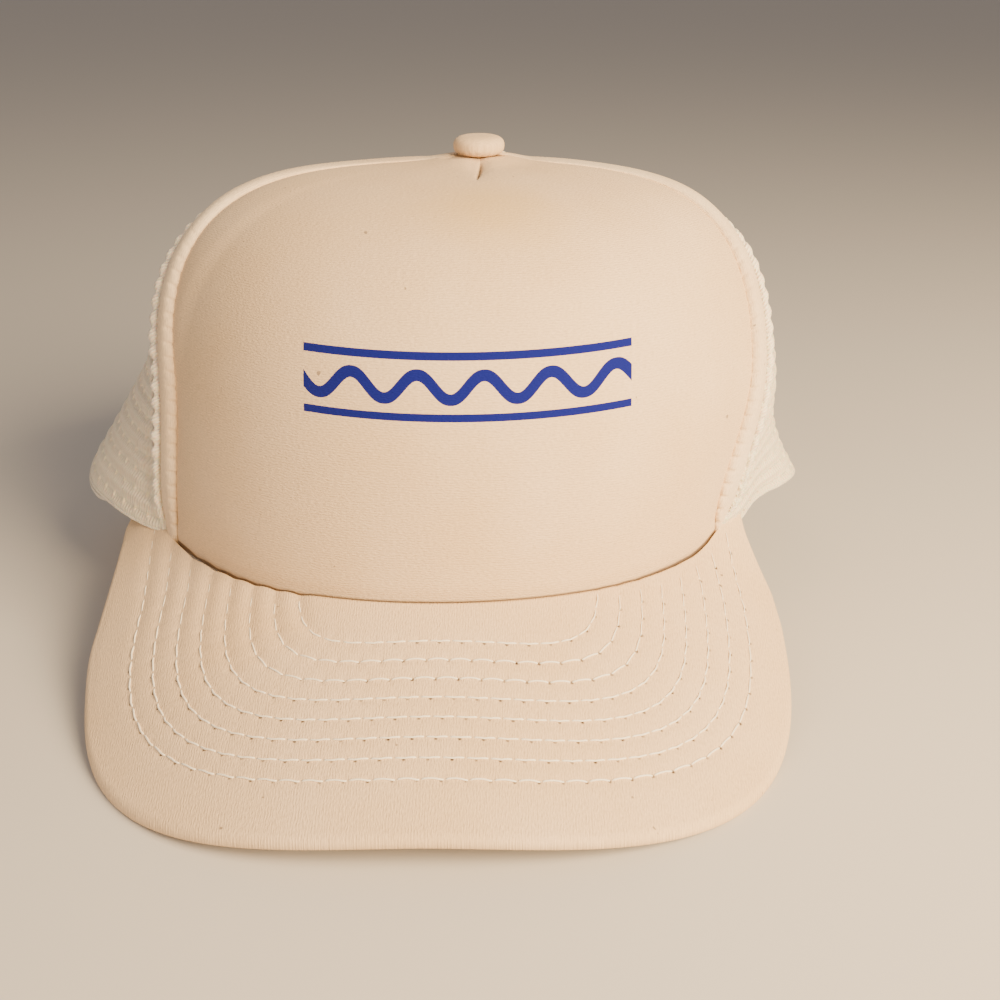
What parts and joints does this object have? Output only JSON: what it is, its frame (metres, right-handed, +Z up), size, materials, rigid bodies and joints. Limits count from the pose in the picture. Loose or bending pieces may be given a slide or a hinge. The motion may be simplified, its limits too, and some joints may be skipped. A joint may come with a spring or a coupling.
{
  "type": "trucker cap",
  "caption": "Foam-front trucker cap with mesh side and rear panels, an arched stitched peak, a covered top button, an inner sweatband and a fastened plastic snap strap.",
  "frame": {"origin": "centre of the bounding box seen from above, on the table that the cap stands on", "axes": "+Z up; -Y the way the peak points; +X the wearer's left, at the viewer's right in the picture"},
  "size_m": [0.225, 0.2326, 0.1339],
  "materials": {
    "foam_fabric": "plain-woven white polyester over foam, slightly yellowed",
    "knitted_mesh": "stiff knitted white nylon net",
    "cotton_tape": "white cotton twill tape",
    "closure_plastic": "moulded white polyethylene, satin"
  },
  "bodies": {
    "root": {"front_panel": "foam_fabric", "seam_band_right": "foam_fabric", "mesh_side_right": "knitted_mesh", "mesh_rear_right": "knitted_mesh", "seam_band_left": "foam_fabric", "mesh_side_left": "knitted_mesh", "mesh_rear_left": "knitted_mesh", "rear_edge_tape": "cotton_tape", "sweatband": "cotton_tape", "peak": "foam_fabric", "snap_strap": "closure_plastic", "top_button": "foam_fabric"}
  },
  "joints": []
}
